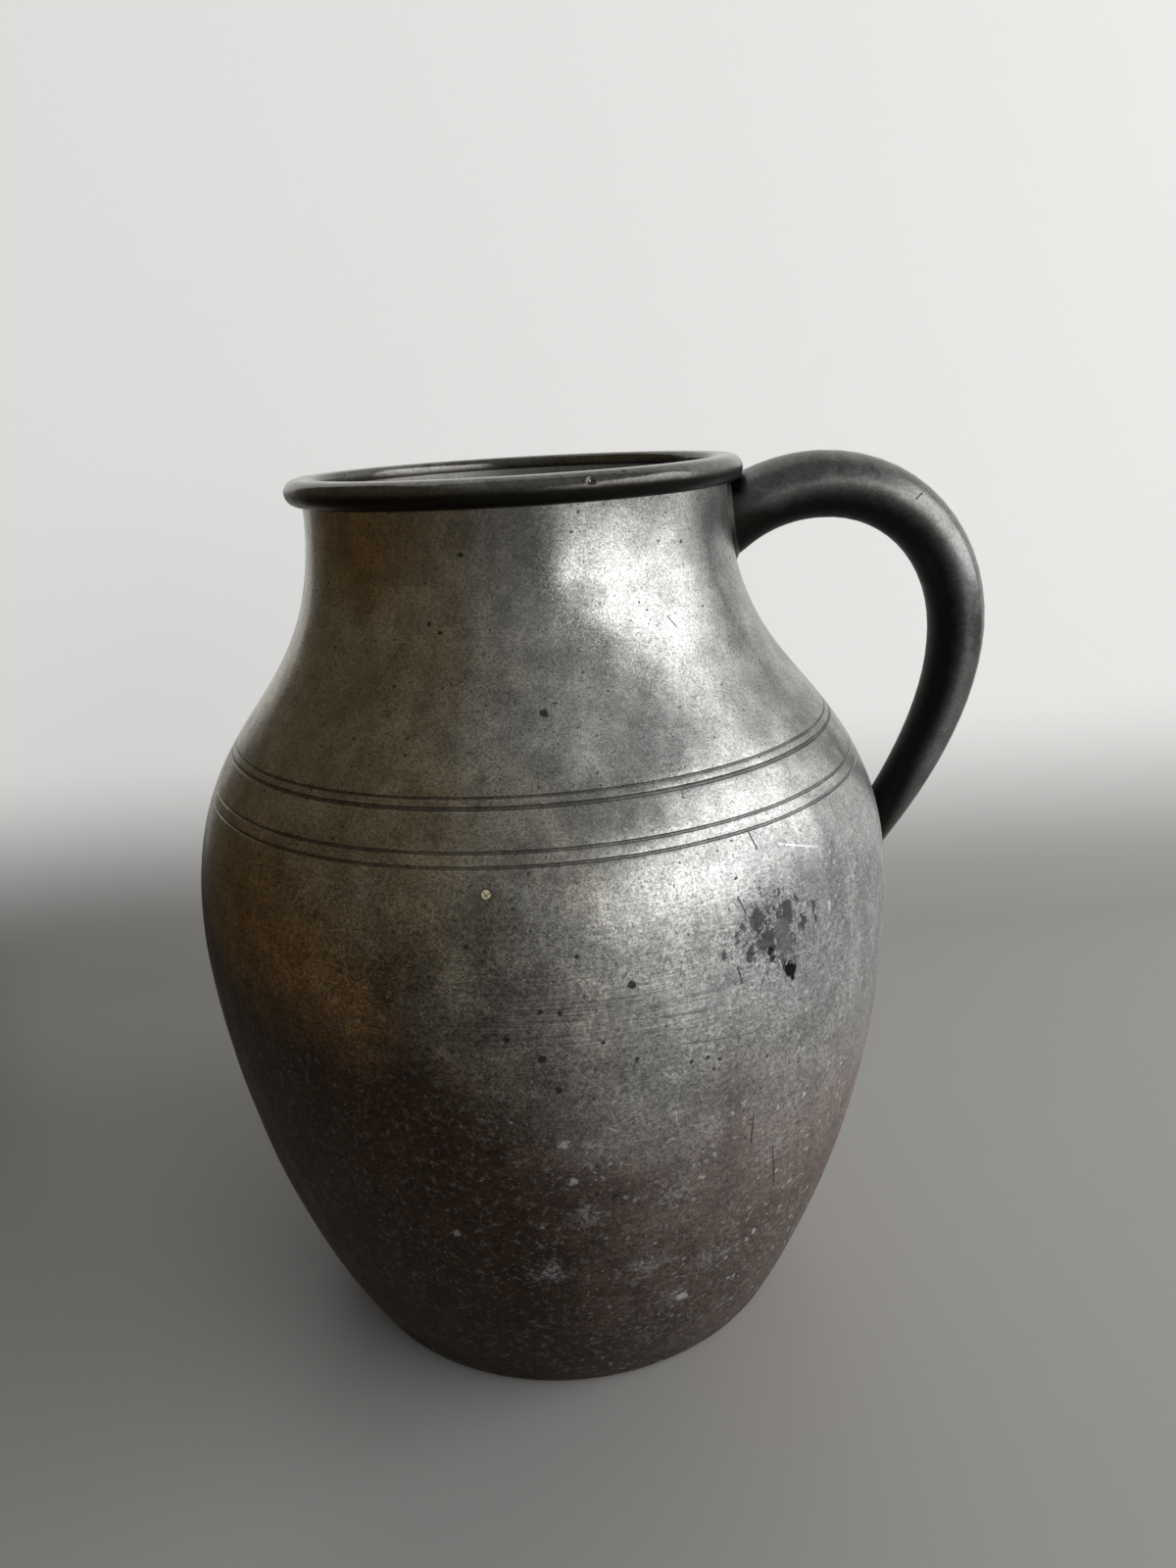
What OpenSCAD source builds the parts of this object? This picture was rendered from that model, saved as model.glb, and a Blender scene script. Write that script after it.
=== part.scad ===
// Soldered metal jug: a round body cast in two halves, a base disc, a rolled rim bead
// and one loop handle. The axis is +Z, the handle points along +X and the foot stands on z = 0.

/* [Body] */
// Radius of the foot's outer edge
foot_r = 41; // [37:0.5:45]
// Outward lean of the wall at the foot, in degrees from upright
foot_lean = 28; // [22:1:32]
// Length of the lower curve's pull at the foot
foot_pull = 36.5; // [28:0.5:42]
// Length of the lower curve's pull at the belly
low_belly_pull = 9.5; // [6:0.5:16]
// Largest radius of the belly
belly_r = 60; // [55:0.5:66]
// Height of the widest place
belly_z = 74; // [68:0.5:80]
// Length of the shoulder curve's pull at the belly
high_belly_pull = 40; // [32:0.5:44]
// Length of the shoulder curve's pull at the neck
neck_pull = 35.5; // [28:0.5:40]
// Outer radius of the neck below the bead
neck_r = 34.6; // [31:0.2:38]
// Height where the neck meets the bead
neck_z = 144; // [138:0.5:150]
// Thickness of the cast wall
wall = 2.2; // [1.8:0.1:2.8]

/* [Belly seam] */
// Rise of the joint between the two cast halves above the widest place
seam_rise = 2; // [-2:0.5:6]
// Height of the locating lip inside the joint
lip_h = 3; // [2:0.25:5]
// Thickness of the locating lip
lip_t = 1; // [0.7:0.1:1.3]
// Depth and half height of the solder notch round the joint
notch = 0.6; // [0.4:0.1:0.8]

/* [Turned lines] */
// Rise of the highest turned line above the widest place
line_rise = 33; // [26:0.25:38]
// Drop from the first line to the second
first_pair_drop = 1.2; // [1:0.1:2]
// Drop from the upper pair to the lower pair
pairs_drop = 5.1; // [3:0.1:8]
// Drop from the third line to the fourth
second_pair_drop = 1.75; // [1.2:0.05:2.5]
// Width of the fine top line
fine_line_w = 0.5; // [0.3:0.05:0.8]
// Width of the broad second line
broad_line_w = 0.95; // [0.6:0.05:1.1]
// Width of the two lower lines
low_line_w = 0.65; // [0.4:0.05:1]
// Depth of every turned line
line_depth = 0.35; // [0.2:0.05:0.6]

/* [Rim bead] */
// Height of the bead
bead_h = 4.1; // [3.5:0.1:6]
// How far the bead stands out from the neck
bead_out = 2.6; // [2.2:0.1:5]
// Rounding of the bead's inner top edge
bead_inner_round = 1; // [0.5:0.1:1.2]
// How far the neck rises inside the bead
neck_rise = 2; // [1.2:0.1:2.4]

/* [Base] */
// How far the base disc stays inside the bowl's wall at its top
base_margin = 0.5; // [0.3:0.1:1]
// Thickness of the base disc
base_t = 2.2; // [1.5:0.1:3]
// Height of the recess under the base disc
base_recess = 1.5; // [1:0.1:3]
// Width of the ledge that carries the base disc
ledge_w = 1.5; // [1:0.1:2.5]
// Size of the solder fillet round the base disc
base_fillet = 1.2; // [0.8:0.1:2]

/* [Handle] */
// Drop from the neck's top to the middle of the handle's upper root
root_drop = 6.8; // [6:0.1:9]
// Rise of the handle as it leaves the neck, in degrees
root_rise = 36; // [25:1:45]
// How far the handle's crown stands out from the neck
crown_out = 15.4; // [12:0.2:20]
// Drop from the neck's top to the crown's centre line
crown_drop = 1.9; // [1:0.1:6]
// How far the handle's centre line stands out past the belly
bow_out = 14.4; // [12:0.2:20]
// Drop from the neck's top to where the handle stands out furthest
bow_drop = 27.5; // [22:0.5:34]
// Rise of the middle of the handle's lower root above the widest place
tail_rise = 6.5; // [3:0.5:12]
// Slope of the handle as it meets the belly, in degrees from level
tail_slope = 54; // [46:1:62]
// Length of the handle curve's pull at the neck
root_pull = 6; // [4:0.5:9]
// Length of the handle curves' pull before the crown
crown_in_pull = 5; // [3:0.5:8]
// Length of the handle curves' pull after the crown
crown_out_pull = 14; // [10:0.5:18]
// Length of the handle curves' pull above the furthest place
bow_high_pull = 14.5; // [10:0.5:18]
// Length of the handle curves' pull below the furthest place
bow_low_pull = 14; // [10:0.5:18]
// Length of the handle curve's pull at the belly
tail_pull = 10; // [6:0.5:14]
// Thickness of the handle at the neck
root_t = 11.2; // [10:0.2:13]
// Thickness of the handle at its crown
crown_t = 11; // [9:0.2:12]
// Thickness of the handle where it stands out furthest
bow_t = 9.4; // [8:0.2:11]
// Thickness of the handle at the belly
tail_t = 6.6; // [6:0.2:9]
// Width of the handle at the neck
root_w = 13; // [11:0.2:15]
// Width of the handle at its crown
crown_w = 12; // [10:0.2:14]
// Width of the handle where it stands out furthest
bow_w = 11; // [9:0.2:13]
// Width of the handle at the belly
tail_w = 9; // [7.5:0.2:11]

/* [Fits] */
// Thickness of the solder under the bead and under the handle's ends
solder_t = 0.3; // [0.2:0.05:0.5]
// How far the solder spreads past the handle's ends
solder_spread = 0.5; // [0.3:0.1:0.8]
// Clearance of the lip and of the base disc in their seats
seat_clear = 0.1; // [0.05:0.05:0.2]

/* [Hidden] */
$fn = 96;

// Steps of each body curve, and of each handle curve
body_steps = 22;
handle_steps = 12;
// Sides of the handle's oval section
handle_sides = 24;
// Share of a turned line's width that is flat at its bottom
line_floor = 1 / 3;
// Reach of a cutter past the surface that it cuts
past = 1;
// Reach of the body's skin above and below the ends that are fitted to it
skin_reach = 2 * root_t;

neck_top = neck_z + neck_rise;
neck_in_r = neck_r - wall;
base_top = base_recess + base_t;
seam_z = belly_z + seam_rise;
line_z = belly_z + line_rise;
bow_z = neck_z - bow_drop;
tail_z = belly_z + tail_rise;
line_heights = [line_z, line_z - first_pair_drop, line_z - first_pair_drop - pairs_drop,
                line_z - first_pair_drop - pairs_drop - second_pair_drop];
line_widths = [fine_line_w, broad_line_w, low_line_w, low_line_w];

// Cubic curve, its direction, and the unit normal on the right of that direction
function curve(p, t) = pow(1 - t, 3) * p[0] + 3 * pow(1 - t, 2) * t * p[1]
    + 3 * (1 - t) * t * t * p[2] + pow(t, 3) * p[3];
function curve_dir(p, t) = pow(1 - t, 2) * (p[1] - p[0]) + 2 * (1 - t) * t * (p[2] - p[1])
    + t * t * (p[3] - p[2]);
function right_normal(d) = [d[1], -d[0]] / norm(d);
function beside(p, t, off) = curve(p, t) + off * right_normal(curve_dir(p, t));

// Body outline, as [radius, height]
low_curve = [[foot_r, 0], [foot_r, 0] + foot_pull * [sin(foot_lean), cos(foot_lean)],
             [belly_r, belly_z - low_belly_pull], [belly_r, belly_z]];
high_curve = [[belly_r, belly_z], [belly_r, belly_z + high_belly_pull],
              [neck_r, neck_z - neck_pull], [neck_r, neck_z]];
function outline(off) = concat(
    [for (i = [0 : body_steps - 1]) beside(low_curve, i / body_steps, off)],
    [for (i = [0 : body_steps]) beside(high_curve, i / body_steps, off)],
    [[neck_r + off, neck_top]]);
function radius_table(off) = [for (p = outline(off)) [p[1], p[0]]];
outer_radii = radius_table(0);
inner_radii = radius_table(-wall);
function outer_at(z) = lookup(z, outer_radii);
function inner_at(z) = lookup(z, inner_radii);
base_r = inner_at(base_top) - base_margin;

// Handle centre line in the X-Z plane: three curves with straight ends inside the body
root = [outer_at(neck_z - root_drop), neck_z - root_drop];
crown = [neck_r + crown_out, neck_z - crown_drop];
bow = [belly_r + bow_out, bow_z];
tail = [outer_at(tail_z), tail_z];
root_dir = [cos(root_rise), sin(root_rise)];
tail_dir = -[cos(tail_slope), sin(tail_slope)];
root_curve = [root, root + root_pull * root_dir, crown - [crown_in_pull, 0], crown];
crown_curve = [crown, crown + [crown_out_pull, 0], bow + [0, bow_high_pull], bow];
tail_curve = [bow, bow - [0, bow_low_pull], tail - tail_pull * tail_dir, tail];
root_sink = root_t / 2;
tail_sink = tail_t;

// One station of the handle: its centre, direction, thickness and width
function station(c, t, t0, t1, w0, w1) =
    [curve(c, t), curve_dir(c, t), t0 + (t1 - t0) * t, w0 + (w1 - w0) * t];
stations = concat(
    [[root - root_sink * root_dir, root_dir, root_t, root_w]],
    [for (i = [0 : handle_steps - 1])
        station(root_curve, i / handle_steps, root_t, crown_t, root_w, crown_w)],
    [for (i = [0 : handle_steps - 1])
        station(crown_curve, i / handle_steps, crown_t, bow_t, crown_w, bow_w)],
    [for (i = [0 : handle_steps])
        station(tail_curve, i / handle_steps, bow_t, tail_t, bow_w, tail_w)],
    [[tail + tail_sink * tail_dir, tail_dir, tail_t, tail_w]]);

// Oval ring of points round one station, grown by a margin
function ring(s, grow) = let (n = right_normal(s[1])) [for (k = [0 : handle_sides - 1])
    let (a = 360 * k / handle_sides, m = (s[2] / 2 + grow) * cos(a))
    [s[0][0] + m * n[0], (s[3] / 2 + grow) * sin(a), s[0][1] + m * n[1]]];

module handle_sweep(grow = 0) {
    last = len(stations) - 1;
    points = [for (s = stations) each ring(s, grow)];
    sides = [for (i = [0 : last - 1], k = [0 : handle_sides - 1])
        let (a = i * handle_sides + k, b = i * handle_sides + (k + 1) % handle_sides)
        each [[a, a + handle_sides, b], [b, a + handle_sides, b + handle_sides]]];
    first_cap = [for (k = [1 : handle_sides - 2]) [0, k, k + 1]];
    end = last * handle_sides;
    last_cap = [for (k = [1 : handle_sides - 2]) [end, end + k + 1, end + k]];
    polyhedron(points = points, faces = concat(sides, first_cap, last_cap));
}

// Everything inside the body's outer skin between two heights, grown by a margin
module body_fill(low_z, high_z, off) {
    skin = [for (p = outline(off)) if (p[1] > low_z && p[1] < high_z) p];
    rotate_extrude()
        polygon(concat([[0, skin[0][1]]], skin, [[0, skin[len(skin) - 1][1]]]));
}

// Flat section of the cast wall from the foot to the neck's top
module wall_section() {
    inner = outline(-wall);
    polygon(concat(outline(0), [for (i = [len(inner) - 1 : -1 : 0]) inner[i]]));
}

// Flat section of the whole body's filled outline
module filled_section() {
    polygon(concat([[0, 0]], outline(0), [[0, neck_top]]));
}

// Flat section of a band between two heights
module band(low_z, high_z) {
    translate([0, low_z]) square([belly_r + past, high_z - low_z]);
}

// Flat section of the notch that the belly solder fills
module notch_section() {
    polygon([[outer_at(seam_z) - notch, seam_z], [outer_at(seam_z) + past, seam_z - notch - past],
             [outer_at(seam_z) + past, seam_z + notch + past]]);
}

// Flat section of one turned line, square to the wall
module line_section(z, w) {
    lean = atan2(outer_at(z - w) - outer_at(z + w), 2 * w);
    floor_w = w * line_floor;
    translate([outer_at(z), z]) rotate(lean)
        polygon([[-line_depth, -floor_w / 2], [-line_depth, floor_w / 2], [0, w / 2],
                 [past, w / 2], [past, -w / 2], [0, -w / 2]]);
}

module lower_bowl_section() {
    lip_r = inner_at(seam_z);
    difference() {
        union() {
            intersection() {
                wall_section();
                band(0, seam_z);
            }
            translate([lip_r, seam_z - past]) square([lip_t, lip_h + past]);
            intersection() {
                filled_section();
                translate([base_r - ledge_w, 0]) square([foot_r, base_recess + past]);
            }
        }
        translate([0, base_recess]) square([base_r + seat_clear, base_t]);
        notch_section();
    }
}

module upper_shoulder_section() {
    lip_r = inner_at(seam_z);
    difference() {
        intersection() {
            wall_section();
            band(seam_z, neck_top + past);
        }
        translate([lip_r - wall, seam_z - past])
            square([wall + lip_t + seat_clear, lip_h + past + seat_clear]);
        notch_section();
        for (i = [0 : len(line_heights) - 1]) line_section(line_heights[i], line_widths[i]);
    }
}

// Flat section of the bead, grown by a margin, without its seat on the neck
module bead_section(grow = 0) {
    roll = bead_h / 2;
    roll_r = neck_r + bead_out - roll;
    translate([roll_r, neck_z + roll]) circle(r = roll + grow);
    difference() {
        translate([neck_in_r - grow, neck_z - grow]) square([roll_r - neck_in_r + grow, bead_h + 2 * grow]);
        translate([neck_in_r - grow, neck_z + bead_h - bead_inner_round + grow]) difference() {
            translate([-past, 0]) square([past + bead_inner_round, bead_inner_round + past]);
            translate([bead_inner_round, 0]) circle(r = bead_inner_round);
        }
    }
}

// Skins that the handle's two ends are fitted to, grown by a margin
module root_skin(off) {
    body_fill(root[1] - skin_reach, neck_top + past, off);
    rotate_extrude() bead_section(off);
}

module tail_skin(off) {
    body_fill(tail[1] - skin_reach, tail[1] + skin_reach, off);
}

// The pieces
module lower_bowl() {
    color("#4f4a48") rotate_extrude() lower_bowl_section();
}

module upper_shoulder() {
    color("#6a6a68") rotate_extrude() upper_shoulder_section();
}

module base_plate() {
    color("#57534f") translate([0, 0, base_recess]) cylinder(r = base_r, h = base_t);
}

module rim_bead() {
    color("#3f3f3e") rotate_extrude() difference() {
        bead_section();
        translate([0, neck_z - past]) square([neck_r + solder_t, past + neck_rise + solder_t]);
    }
}

module handle() {
    color("#403e3c") difference() {
        handle_sweep();
        root_skin(solder_t);
        tail_skin(solder_t);
    }
}

module belly_solder() {
    color("#77746f") rotate_extrude() intersection() {
        wall_section();
        notch_section();
    }
}

module base_solder() {
    color("#77746f") rotate_extrude() difference() {
        polygon([[base_r - base_fillet, base_top], [inner_at(base_top) + wall / 2, base_top],
                 [inner_at(base_top + base_fillet) + wall / 2, base_top + base_fillet],
                 [inner_at(base_top + base_fillet), base_top + base_fillet]]);
        lower_bowl_section();
    }
}

module rim_solder() {
    color("#77746f") rotate_extrude() {
        translate([neck_r, neck_z]) square([solder_t, neck_rise]);
        translate([neck_in_r, neck_top]) square([wall + solder_t, solder_t]);
    }
}

module upper_handle_solder() {
    color("#77746f") difference() {
        intersection() {
            handle_sweep(solder_spread);
            root_skin(solder_t);
        }
        root_skin(0);
    }
}

module lower_handle_solder() {
    color("#77746f") difference() {
        intersection() {
            handle_sweep(solder_spread);
            tail_skin(solder_t);
        }
        tail_skin(0);
    }
}

lower_bowl();
upper_shoulder();
base_plate();
rim_bead();
handle();
belly_solder();
base_solder();
rim_solder();
upper_handle_solder();
lower_handle_solder();
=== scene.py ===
import math
from functools import reduce
import bmesh
import bpy
from mathutils import Matrix, Vector, noise
from mathutils.bvhtree import BVHTree


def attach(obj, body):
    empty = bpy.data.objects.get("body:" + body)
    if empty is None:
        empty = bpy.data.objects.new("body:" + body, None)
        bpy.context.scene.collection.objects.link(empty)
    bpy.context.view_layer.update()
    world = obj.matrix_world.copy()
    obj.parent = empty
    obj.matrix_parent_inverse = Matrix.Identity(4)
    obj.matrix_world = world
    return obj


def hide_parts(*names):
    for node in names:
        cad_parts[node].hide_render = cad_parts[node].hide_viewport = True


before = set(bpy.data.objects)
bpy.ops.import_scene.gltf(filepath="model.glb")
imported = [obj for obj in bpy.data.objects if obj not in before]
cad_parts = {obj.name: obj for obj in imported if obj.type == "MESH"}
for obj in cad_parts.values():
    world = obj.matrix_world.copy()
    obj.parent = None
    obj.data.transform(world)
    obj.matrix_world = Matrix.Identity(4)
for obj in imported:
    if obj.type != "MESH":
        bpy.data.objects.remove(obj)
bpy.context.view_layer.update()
mm = 0.001
scene = bpy.context.scene
scene.view_settings.view_transform = "Standard"

# Sizes are in millimetres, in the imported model's frame; those of the stage and the light are in metres
body = {
    "lowCurve": ((41, 0), (58.136, 32.228), (60, 64.5), (60, 74)),
    "highCurve": ((60, 74), (60, 114), (34.6, 108.5), (34.6, 144)),
    "neckTop": 146, "wall": 2.2, "seam": 76, "notch": 0.6, "lipRise": 3, "lipThick": 1, "seatGap": 0.1, "hair": 0.01,
    "footEdge": 0.9, "footTuck": 0.6, "footAngles": (22, 45, 67), "insideDepth": 1.5,
    "dirtDepth": 1.2, "dirtGain": 4, "dirtStart": 0.25, "curveSteps": 70, "turns": 256,
    "unrollRadius": 58,
}


def curvePoint(curve, t):
    s = 1 - t
    return [s ** 3 * a + 3 * s * s * t * b + 3 * s * t * t * c + t ** 3 * d for a, b, c, d in zip(*curve)]


def curveSlope(curve, t):
    s = 1 - t
    return [s * s * (b - a) + 2 * s * t * (c - b) + t * t * (d - c) for a, b, c, d in zip(*curve)]


def bodyOutline(offset=0):
    points = []
    for curve in (body["lowCurve"], body["highCurve"]):
        for i in range(body["curveSteps"] + 1):
            r, z = curvePoint(curve, i / body["curveSteps"])
            dr, dz = curveSlope(curve, i / body["curveSteps"])
            size = math.hypot(dr, dz)
            points.append((r + offset * dz / size, z - offset * dr / size))
    del points[body["curveSteps"]]
    return points + [(points[-1][0], body["neckTop"])]


outerLine = bodyOutline()
innerLine = bodyOutline(-body["wall"])


def radiusAt(z, line=outerLine):
    for (r0, z0), (r1, z1) in zip(line, line[1:]):
        if z0 <= z <= z1:
            return r0 + (r1 - r0) * (z - z0) / max(z1 - z0, 1e-9)
    return line[0][0] if z < line[0][1] else line[-1][0]


def wallTilt(z):
    return math.atan2(radiusAt(z - 0.5) - radiusAt(z + 0.5), 1)


def between(line, low, high):
    return [(radiusAt(low, line), low)] + [p for p in line if low < p[1] < high] + [(radiusAt(high, line), high)]


# The casting isn't quite round: long soft waves, and a neck that sits and leans a little to one side
hand = {"waveDepth": 0.28, "waveLength": 34, "rippleDepth": 0.07, "rippleLength": 9, "rippleStart": (7, 3, 5),
        "girth": 55, "calmFoot": 12, "calmCore": 20, "neckShift": -0.75, "shiftFrom": 84, "shiftTo": 120,
        "rimLean": 0.015, "leanFrom": 112, "dentRate": 1.6}


def easeIn(z, low, high):
    t = min(1, max(0, (z - low) / (high - low)))
    return t * t * (3 - 2 * t)


def swellAt(cx, cy, z):
    place = Vector((cx * hand["girth"], cy * hand["girth"], z))
    swell = hand["waveDepth"] * noise.noise(place / hand["waveLength"])
    swell += hand["rippleDepth"] * noise.noise(place / hand["rippleLength"] + Vector(hand["rippleStart"]))
    return swell * min(1, z / hand["calmFoot"])


def shiftAt(z):
    return hand["neckShift"] * easeIn(z, hand["shiftFrom"], hand["shiftTo"])


def settle(x, y, z):
    r = math.hypot(x, y)
    if r < 1e-6:
        return x, y, z
    swell = swellAt(x / r, y / r, z) * min(1, r / hand["calmCore"])
    lean = hand["rimLean"] * easeIn(z, hand["leanFrom"], body["neckTop"])
    return x * (1 + swell / r) + shiftAt(z), y * (1 + swell / r), z + lean * y


def refineNear(bm, centre, reach, cuts=4):
    near = [e for e in bm.edges if min((v.co / mm - centre).length for v in e.verts) < reach]
    bmesh.ops.subdivide_edges(bm, edges=near, cuts=cuts, use_grid_fill=True)
    bm.normal_update()


def pushIn(bm, centre, radius, depth, ragged=0.0):
    for v in bm.verts:
        away = (v.co / mm - centre).length / radius
        if away < 1:
            uneven = 1 + ragged * noise.noise(v.co / mm * hand["dentRate"])
            v.co -= v.normal * (depth * uneven * (1 - away * away) ** 2 * mm)


def markSunk(bm, grooves):
    dirt = bm.verts.layers.float.new("grooveDirt")
    inside = bm.verts.layers.float.new("inside")
    for v in bm.verts:
        sunk = radiusAt(v.co.z / mm) - math.hypot(v.co.x, v.co.y) / mm
        v[inside] = sunk > body["insideDepth"]
        dirty = grooves and sunk < body["dirtDepth"]
        v[dirt] = max(0, min(1, sunk * body["dirtGain"] - body["dirtStart"])) if dirty else 0


def settleMesh(bm):
    for v in bm.verts:
        v.co = Vector(settle(*(v.co / mm))) * mm


def spinSection(section):
    bm = bmesh.new()
    verts = [bm.verts.new((r * mm, 0, z * mm)) for r, z in section]
    edges = [bm.edges.new(pair) for pair in zip(verts, verts[1:] + verts[:1])]
    bmesh.ops.spin(bm, geom=verts + edges, cent=(0, 0, 0), axis=(0, 0, 1), angle=2 * math.pi,
                   steps=body["turns"], use_merge=True)
    bmesh.ops.remove_doubles(bm, verts=bm.verts, dist=1e-6)
    bmesh.ops.recalc_face_normals(bm, faces=bm.faces)
    return bm


def linkMesh(name, bm):
    mesh = bpy.data.meshes.new(name)
    bm.to_mesh(mesh)
    bm.free()
    mesh.polygons.foreach_set("use_smooth", [True] * len(mesh.polygons))
    made = bpy.data.objects.new(name, mesh)
    scene.collection.objects.link(made)
    return made


def finishPiece(name, bm, material, node, sharp=32):
    piece = linkMesh(name, bm)
    piece.data.set_sharp_from_angle(angle=math.radians(sharp))
    piece.data.materials.append(material)
    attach(piece, "root")
    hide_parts(node)
    print("made", name, len(piece.data.polygons), "faces")


# Camera, as the photograph was taken; it also places the marks that the photograph shows
view = {"spot": (0, -194.27, 153.33), "pitch": 17.407, "yaw": 2.483, "roll": -3.3345, "lens": 26.1,
        "clip": 0.01, "focal": 1160, "centre": (600, 800), "search": (60, 320), "halvings": 20}
pitch, yaw, lean = (math.radians(view[k]) for k in ("pitch", "yaw", "roll"))
ahead = Vector((math.sin(yaw) * math.cos(pitch), math.cos(yaw) * math.cos(pitch), -math.sin(pitch)))
level = Vector((math.cos(yaw), -math.sin(yaw), 0))
above = level.cross(ahead)
across = level * math.cos(lean) + above * math.sin(lean)
upward = above * math.cos(lean) - level * math.sin(lean)
camera = bpy.data.objects.new("camera", bpy.data.cameras.new("camera"))
camera.data.lens = view["lens"]
camera.data.clip_start = view["clip"]
turned = Matrix((across, upward, -ahead)).transposed().to_4x4()
camera.matrix_world = Matrix.Translation(Vector(view["spot"]) * mm) @ turned
scene.collection.objects.link(camera)
scene.camera = camera


def sightLine(column, row):
    u, w = ((a - b) / view["focal"] for a, b in zip((column, row), view["centre"]))
    return ahead + across * u - upward * w


def insideBody(p):
    return 0 < p.z < body["neckTop"] and math.hypot(p.x, p.y) < radiusAt(p.z)


def spotOnBody(column, row):
    start, way = Vector(view["spot"]), sightLine(column, row)
    far = next((reach for reach in range(*view["search"]) if insideBody(start + way * reach)), None)
    if far is None:
        raise ValueError(f"no body at {column}, {row}")
    near = far - 1
    for _ in range(view["halvings"]):
        middle = (near + far) / 2
        if insideBody(start + way * middle):
            far = middle
        else:
            near = middle
    return start + way * far


def spotOnMesh(bm, column, row):
    hit = BVHTree.FromBMesh(bm).ray_cast(Vector(view["spot"]) * mm, sightLine(column, row))[0]
    return hit / mm


# Shader helpers
def put(tree, kind, inputs=None, **settings):
    made = tree.nodes.new("ShaderNode" + kind)
    for key, value in settings.items():
        setattr(made, key, value)
    for key, value in (inputs or {}).items():
        if isinstance(value, bpy.types.NodeSocket):
            tree.links.new(value, made.inputs[key])
        else:
            made.inputs[key].default_value = value
    return made


def sums(tree, operation, a, b=0.0):
    return put(tree, "Math", {0: a, 1: b}, operation=operation).outputs[0]


def times(tree, *factors):
    return reduce(lambda a, b: sums(tree, "MULTIPLY", a, b), factors)


def plus(tree, *terms):
    return reduce(lambda a, b: sums(tree, "ADD", a, b), terms)


def minus(tree, a, b):
    return sums(tree, "SUBTRACT", a, b)


def ratio(tree, a, b):
    return sums(tree, "DIVIDE", a, b)


def anyOf(tree, marks):
    return reduce(lambda a, b: sums(tree, "MAXIMUM", a, b), marks)


def fade(tree, value, low, high, atLow=0.0, atHigh=1.0):
    ends = {"From Min": low, "From Max": high, "To Min": atLow, "To Max": atHigh}
    return put(tree, "MapRange", {"Value": value, **ends}, interpolation_type="SMOOTHSTEP", clamp=False).outputs[0]


def gain(tree, mark, amount):  # 1 outside a mark, and the amount inside it
    return fade(tree, mark, 0.0, 1.0, 1.0, amount)


def blend(tree, amount, a, b):
    return put(tree, "Mix", {0: amount, 6: a, 7: b}, data_type="RGBA").outputs[2]


def vector(tree, operation, a, b, output=0):
    return put(tree, "VectorMath", {0: a, 1: b}, operation=operation).outputs[output]


def scaled(tree, a, amount):
    return put(tree, "VectorMath", {0: a, "Scale": amount}, operation="SCALE").outputs[0]


def measure(tree, operation, a, b):
    return vector(tree, operation, a, b, "Value")


def cloudy(tree, place, rate, detail, **more):
    return put(tree, "TexNoise", {"Vector": place, "Scale": rate, "Detail": detail, **more}).outputs


def attribute(tree, name):
    return put(tree, "Attribute", attribute_name=name).outputs["Fac"]


def inMillimetres(tree, stretch=(1, 1, 1)):
    return vector(tree, "MULTIPLY", put(tree, "TexCoord").outputs["Object"], tuple(s / mm for s in stretch))


def startGroup(name, inputs, outputs):
    group = bpy.data.node_groups.new(name, "ShaderNodeTree")
    for label, value in inputs.items():
        kind = "NodeSocketVector" if isinstance(value, tuple) else "NodeSocketFloat"
        group.interface.new_socket(label, in_out="INPUT", socket_type=kind).default_value = value
    for label in outputs:
        group.interface.new_socket(label, in_out="OUTPUT", socket_type="NodeSocketFloat")
    return group, group.nodes.new("NodeGroupInput").outputs, group.nodes.new("NodeGroupOutput").inputs


def useGroup(tree, group, **inputs):
    return put(tree, "Group", inputs, node_tree=group).outputs


# Fine sandy grain of the old casting skin: crisp grains, a soft roughness for the relief, and small dark flecks
tree, enter, leave = startGroup("sandGrain", {"Size": 0.3}, ["Grain", "Relief", "Flecks"])
sandGrain = tree
spots = inMillimetres(tree)
rate = ratio(tree, 1.0, enter["Size"])
cells = put(tree, "TexVoronoi", {"Vector": spots, "Scale": rate}).outputs["Color"]
tree.links.new(put(tree, "SeparateColor", {0: cells}).outputs[0], leave["Grain"])
fine = cloudy(tree, spots, rate, 1.0, Roughness=0.7)[0]
tree.links.new(fade(tree, fine, 0.48, 0.8), leave["Relief"])
coarse = cloudy(tree, spots, times(tree, rate, 0.5), 4.0, Roughness=0.85)[0]
tree.links.new(fade(tree, coarse, 0.54, 0.64), leave["Flecks"])

# Round dark pits, few and of uneven size
tree, enter, leave = startGroup("pitMarks", {"Spacing": 5.0, "Share": 0.4, "Width": 0.5}, ["Pits"])
pitMarks = tree
spots = inMillimetres(tree)
wobble = scaled(tree, (0.7, -0.6, 0.65), cloudy(tree, spots, 2.2, 1.0)[0])
bent = vector(tree, "ADD", spots, wobble)
cells = put(tree, "TexVoronoi", {"Vector": bent, "Scale": ratio(tree, 1.0, enter["Spacing"])}).outputs
chance = put(tree, "SeparateColor", {0: cells["Color"]}).outputs
kept = sums(tree, "LESS_THAN", chance[0], enter["Share"])
size = times(tree, fade(tree, chance[1], 0.0, 1.0, 0.35, 1.0), enter["Width"])
size = ratio(tree, size, enter["Spacing"])
depth = fade(tree, ratio(tree, cells["Distance"], size), 1.0, 0.55)
tree.links.new(times(tree, kept, depth), leave["Pits"])

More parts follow.
